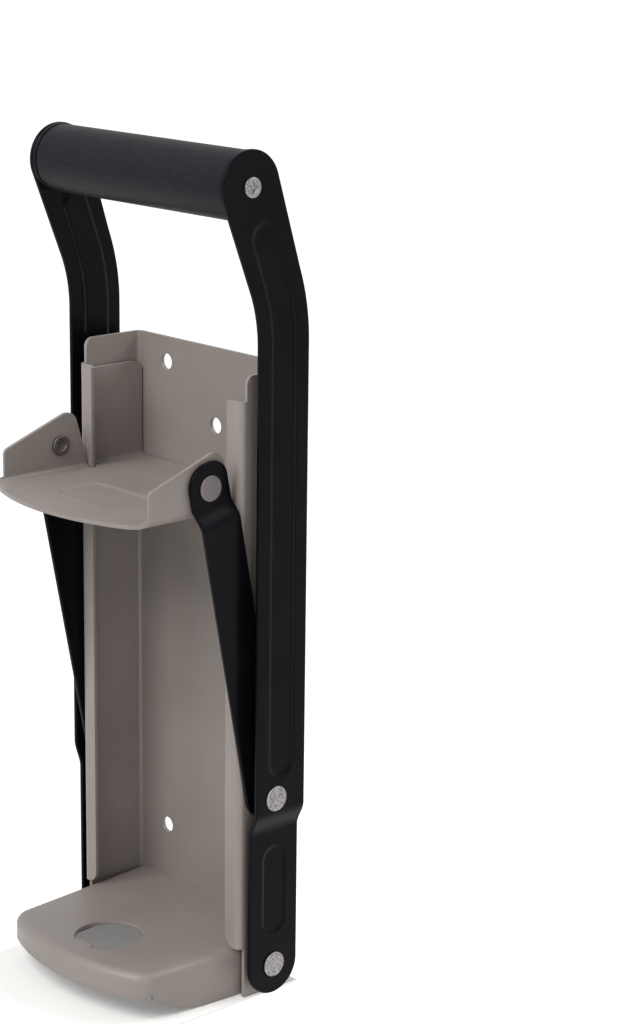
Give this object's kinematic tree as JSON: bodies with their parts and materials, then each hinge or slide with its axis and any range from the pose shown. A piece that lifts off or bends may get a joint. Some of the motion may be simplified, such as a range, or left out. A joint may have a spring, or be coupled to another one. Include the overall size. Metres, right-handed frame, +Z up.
{
  "type": "lever can crusher",
  "caption": "wall-mounted lever can crusher: a folded channel with a base pan, a sliding crush plate, two links and a long lever with a round grip",
  "frame": {"origin": "middle of the lower edge of the wall face: x = 0 is the middle plane, y = 0 the wall, z = 0 the underside of the base", "axes": "+X to the right as seen from the front, +Y into the wall, +Z up along the channel"},
  "size_m": [0.1158, 0.086, 0.3316],
  "materials": {
    "powder_coat": "warm grey powder coat, satin, on folded steel sheet",
    "gloss_black": "gloss black enamel on stamped steel sheet",
    "grip": "smooth matte black rubber",
    "cap": "moulded black plastic",
    "zinc": "bright zinc-plated steel"
  },
  "bodies": {
    "frame": {"back_channel": "powder_coat", "base_pan": "powder_coat", "pivot_rivet_left": "zinc", "pivot_rivet_right": "zinc", "pivot_spacer_left": "zinc", "pivot_spacer_right": "zinc"},
    "lever": {"lever_arm_left": "gloss_black", "lever_arm_right": "gloss_black", "grip_sleeve": "grip", "grip_rod": "zinc", "grip_cap_left": "cap", "grip_cap_right": "cap", "grip_screw_left": "zinc", "grip_screw_right": "zinc", "link_rivet_left": "zinc", "link_rivet_right": "zinc", "link_spacer_left": "zinc", "link_spacer_right": "zinc"},
    "link_left": {"link_left": "gloss_black", "ear_rivet_head_left": "zinc"},
    "link_right": {"link_right": "gloss_black", "ear_rivet_head_right": "zinc"},
    "slider": {"crush_plate": "powder_coat", "ear_rivet_left": "zinc", "ear_rivet_right": "zinc"}
  },
  "joints": [
    {"name": "lever_swing", "type": "hinge", "parent": "frame", "child": "lever", "pos_m": [0, -0.0169, 0.0126], "axis": [1, 0, 0], "range_deg": [0, 165]},
    {"name": "plate_slide", "type": "slide", "parent": "frame", "child": "slider", "axis": [0, 0, -1], "range_m": [0, 0.1374]},
    {"name": "link_left_swing", "type": "hinge", "parent": "lever", "child": "link_left", "pos_m": [0, -0.01948, 0.0831], "axis": [1, 0, 0], "range_deg": [-171.1, 0]},
    {"name": "link_right_swing", "type": "hinge", "parent": "lever", "child": "link_right", "pos_m": [0, -0.01948, 0.0831], "axis": [1, 0, 0], "range_deg": [-171.1, 0]}
  ],
  "couplings": [
    {"joint": "plate_slide", "follows": "lever_swing", "m_per_rad": 0.0477},
    {"joint": "link_left_swing", "follows": "lever_swing", "ratio": -1.0365},
    {"joint": "link_right_swing", "follows": "lever_swing", "ratio": -1.0365}
  ]
}
